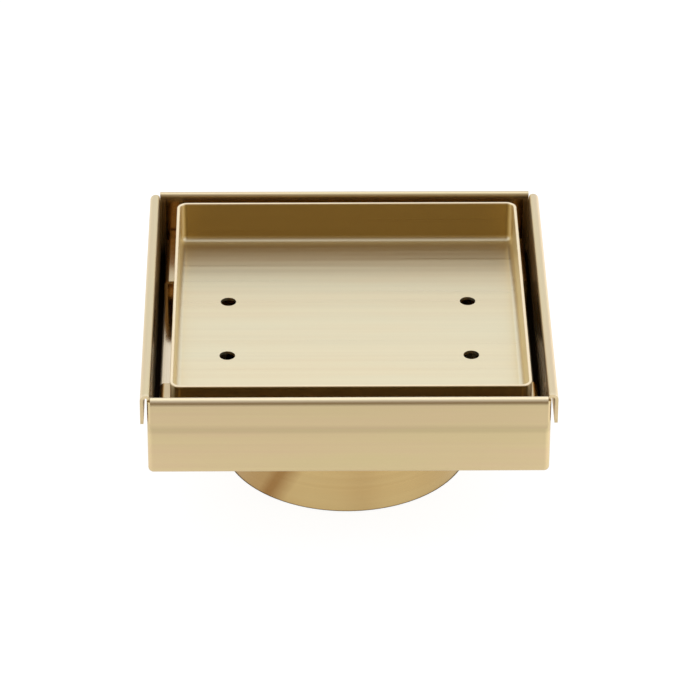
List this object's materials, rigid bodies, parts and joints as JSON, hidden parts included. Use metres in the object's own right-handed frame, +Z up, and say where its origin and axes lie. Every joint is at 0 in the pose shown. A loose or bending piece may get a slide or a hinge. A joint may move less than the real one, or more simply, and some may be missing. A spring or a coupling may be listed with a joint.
{
  "type": "tile insert floor drain",
  "caption": "Square floor drain: folded steel pan with hemmed flanges and a round outlet spigot, holding a loose lift-out tray that takes a cut tile.",
  "frame": {"origin": "centre of the outlet spigot's lower end, the lowest point of the object and the middle of its plan", "axes": "+Z up out of the floor, -Y towards the front, +X to the right; the four flanges run along X and Y"},
  "size_m": [0.115, 0.115, 0.0516],
  "materials": {
    "pan_steel": "brushed gold coating, grain along each flange",
    "spigot_steel": "gold coating over drawn tube, satin",
    "tray_steel": "brushed gold coating, grain from left to right",
    "support_steel": "brushed gold coating, satin"
  },
  "bodies": {
    "housing": {"pan": "pan_steel", "outlet_spigot": "spigot_steel"},
    "tile_insert": {"tile_tray": "tray_steel", "front_support_channel": "support_steel", "rear_support_channel": "support_steel"}
  },
  "joints": [
    {"name": "tray_lift", "type": "slide", "parent": "housing", "child": "tile_insert", "axis": [0, 0, 1], "range_m": [0, 0.035]}
  ]
}
